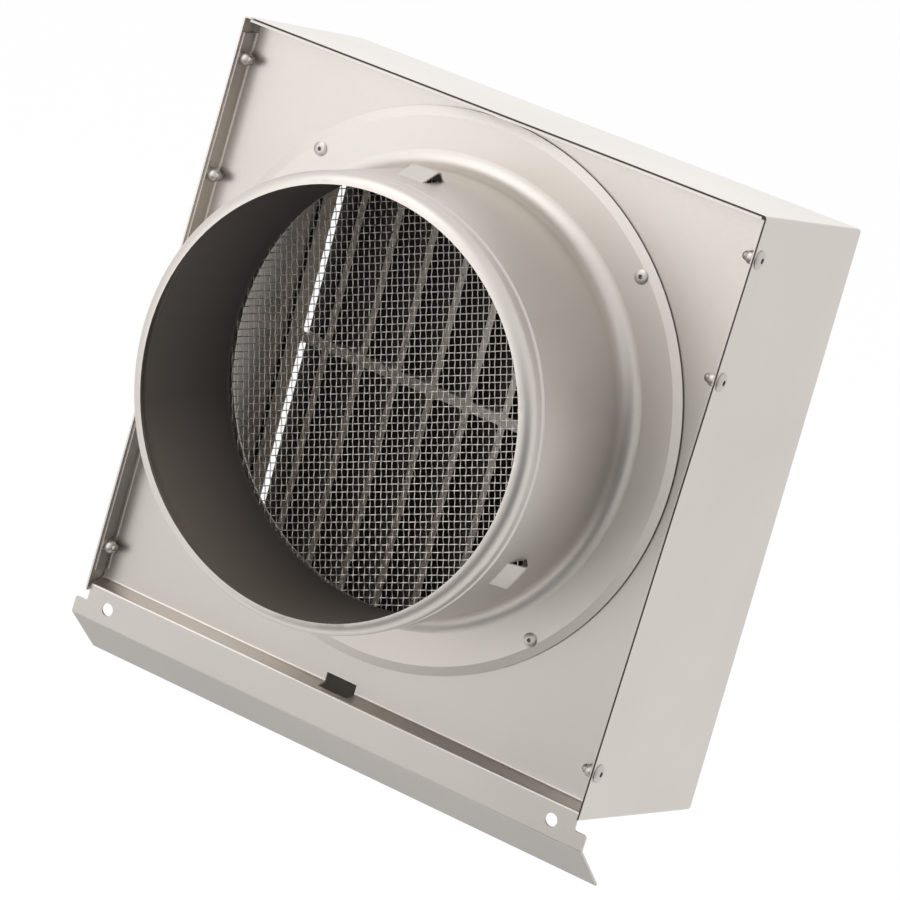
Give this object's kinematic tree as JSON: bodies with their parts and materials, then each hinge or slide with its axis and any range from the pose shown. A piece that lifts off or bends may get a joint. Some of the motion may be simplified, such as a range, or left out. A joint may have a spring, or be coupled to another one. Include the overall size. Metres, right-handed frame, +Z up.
{
  "type": "wall vent cap",
  "caption": "Square deep wall vent cap of folded sheet metal, with a louvred front, a woven insect screen and a round duct collar at the rear.",
  "frame": {"origin": "on the duct collar's axis, in the wall plane where the hood's rear edges meet the wall", "axes": "+Y along the collar's axis into the wall, +Z up, the louvred front faces -Y"},
  "size_m": [0.21, 0.1556, 0.2328],
  "materials": {
    "hood": "satin",
    "back_plate": "satin",
    "duct_collar": "satin",
    "screen": "satin",
    "rivets": "satin",
    "mandrels": "satin"
  },
  "bodies": {
    "root": {"hood": "hood", "back_plate": "back_plate", "duct_collar": "duct_collar", "insect_screen": "screen", "side_rivets": "rivets", "side_rivet_mandrels": "mandrels", "collar_rivets": "rivets", "collar_rivet_mandrels": "mandrels"}
  },
  "joints": []
}
